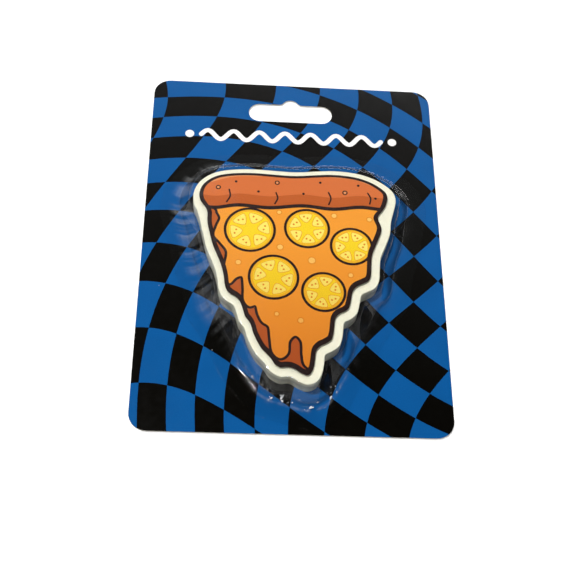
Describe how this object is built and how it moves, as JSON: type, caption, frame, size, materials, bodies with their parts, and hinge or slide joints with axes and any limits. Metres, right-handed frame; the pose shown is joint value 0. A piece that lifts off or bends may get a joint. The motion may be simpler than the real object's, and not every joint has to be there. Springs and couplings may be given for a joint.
{
  "type": "carded novelty eraser",
  "caption": "Jumbo slab eraser cut like a slice of pizza with dripping edges, held in a clear blister on a printed hang card with a long peg slot.",
  "frame": {"origin": "middle of the card's back face", "axes": "+X across the card to the viewer's right, +Y towards the hang slot, +Z out of the card's printed face"},
  "size_m": [0.108, 0.146, 0.0081],
  "materials": {
    "printed_board": "coated board with a glossy varnished print in blue and black checks",
    "clear_pet": "clear thermoformed PET sheet, glossy, with faint draw lines",
    "white_vinyl": "matt white vinyl eraser with softly cut edges",
    "printed_ink": "thin satin film of pad-printed ink in orange, yellow, brown and black"
  },
  "bodies": {
    "card": {"backing_card": "printed_board"},
    "eraser": {"eraser_body": "white_vinyl"},
    "blister": {"blister_shell": "clear_pet"}
  },
  "joints": [
    {"name": "eraser_lift", "type": "slide", "parent": "card", "child": "eraser", "axis": [0, 0, 1], "range_m": [0, 0.025]},
    {"name": "blister_lift", "type": "slide", "parent": "eraser", "child": "blister", "axis": [0, 0, 1], "range_m": [0, 0.025]}
  ]
}
